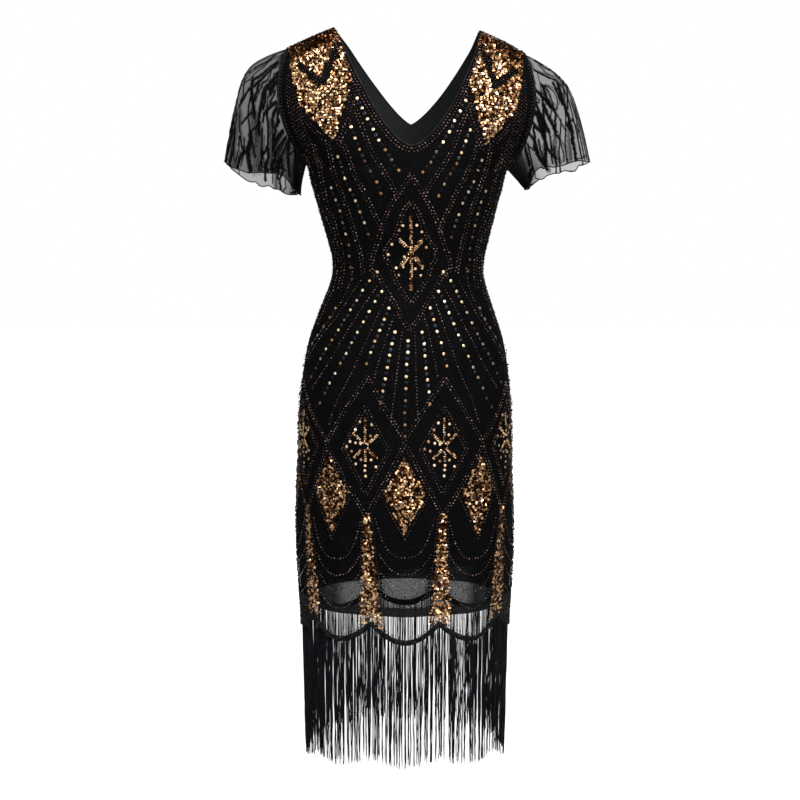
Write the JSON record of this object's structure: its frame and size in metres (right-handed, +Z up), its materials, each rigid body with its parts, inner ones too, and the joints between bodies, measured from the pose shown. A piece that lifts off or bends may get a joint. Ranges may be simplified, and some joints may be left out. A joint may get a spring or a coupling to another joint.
{
  "type": "flapper dress",
  "caption": "Worn-shape evening dress: V neck front and back, short sheer sleeves, scalloped hem with long fringe, open and hollow.",
  "frame": {"origin": "between the two shoulder seams, level with their high points, where the wearer's shoulders hold the dress up", "axes": "+Z up along the dress from hem to shoulders; the front faces -Y; +X is on the viewer's right when the front is seen"},
  "size_m": [0.5382, 0.2467, 1.1153],
  "materials": {
    "beaded_net": "black net with beads and sequins",
    "slip_lining": "thin black slip cloth, slightly sheer",
    "sleeve_net": "sheer black net",
    "fringe_thread": "twisted black thread with a soft sheen"
  },
  "bodies": {
    "root": {"front_panel": "beaded_net", "back_panel": "beaded_net", "lining_front": "slip_lining", "lining_back": "slip_lining", "sleeve_left": "sleeve_net", "sleeve_right": "sleeve_net", "fringe_front": "fringe_thread", "fringe_back": "fringe_thread"}
  },
  "joints": []
}
